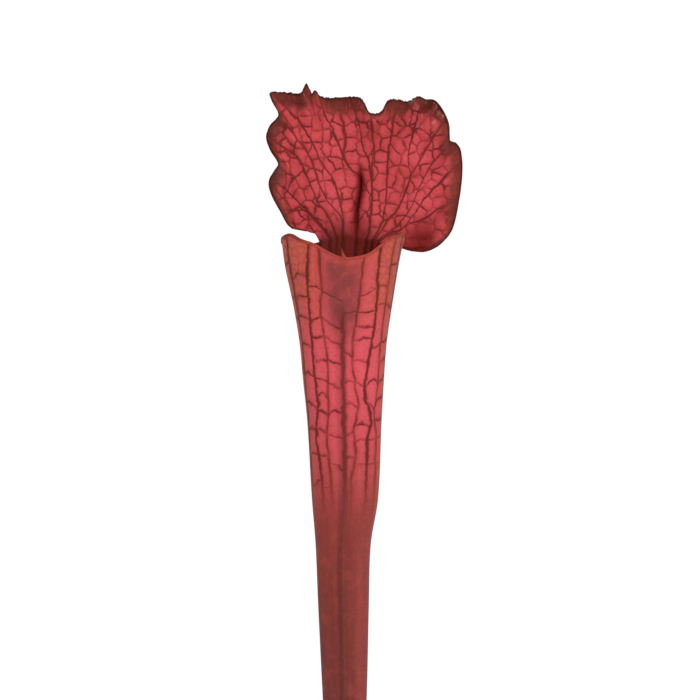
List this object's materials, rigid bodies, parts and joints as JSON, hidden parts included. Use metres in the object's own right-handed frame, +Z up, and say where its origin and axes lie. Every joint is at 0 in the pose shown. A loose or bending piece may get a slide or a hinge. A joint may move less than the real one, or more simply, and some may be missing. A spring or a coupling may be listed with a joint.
{
  "type": "potted trumpet pitcher plant",
  "caption": "Trumpet pitcher plant in a round pot: a tall veined tube with an open mouth and a ruffled hood, young leaves round its base, and potting mix with room for water.",
  "frame": {"origin": "on the surface the pot stands on, under the middle of the pot", "axes": "+Z up along the tall pitcher, -Y towards the side that the tall pitcher's mouth and wing face, +X to the right of someone looking at that side"},
  "size_m": [0.12, 0.12, 0.3918],
  "materials": {
    "pitcher_leaf": "red leaf with dark maroon net veins, satin",
    "young_leaf": "bronze and green young leaf, satin",
    "flat_leaf": "green leaf flushed red at the tip, satin",
    "scale_leaf": "dry brown papery leaf, matt",
    "rhizome": "rough brown creeping stem, matt",
    "potting_mix": "damp dark peat with white grains, rough",
    "pot_plastic": "dark charcoal moulded plastic, satin"
  },
  "bodies": {
    "root": {"main_pitcher": "pitcher_leaf", "small_pitcher": "pitcher_leaf", "closed_pitcher": "young_leaf", "phyllode_1": "flat_leaf", "phyllode_2": "flat_leaf", "phyllode_3": "flat_leaf", "scale_leaf_1": "scale_leaf", "scale_leaf_2": "scale_leaf", "scale_leaf_3": "scale_leaf", "scale_leaf_4": "scale_leaf", "rhizome": "rhizome", "growing_medium": "potting_mix", "pot": "pot_plastic"}
  },
  "joints": []
}
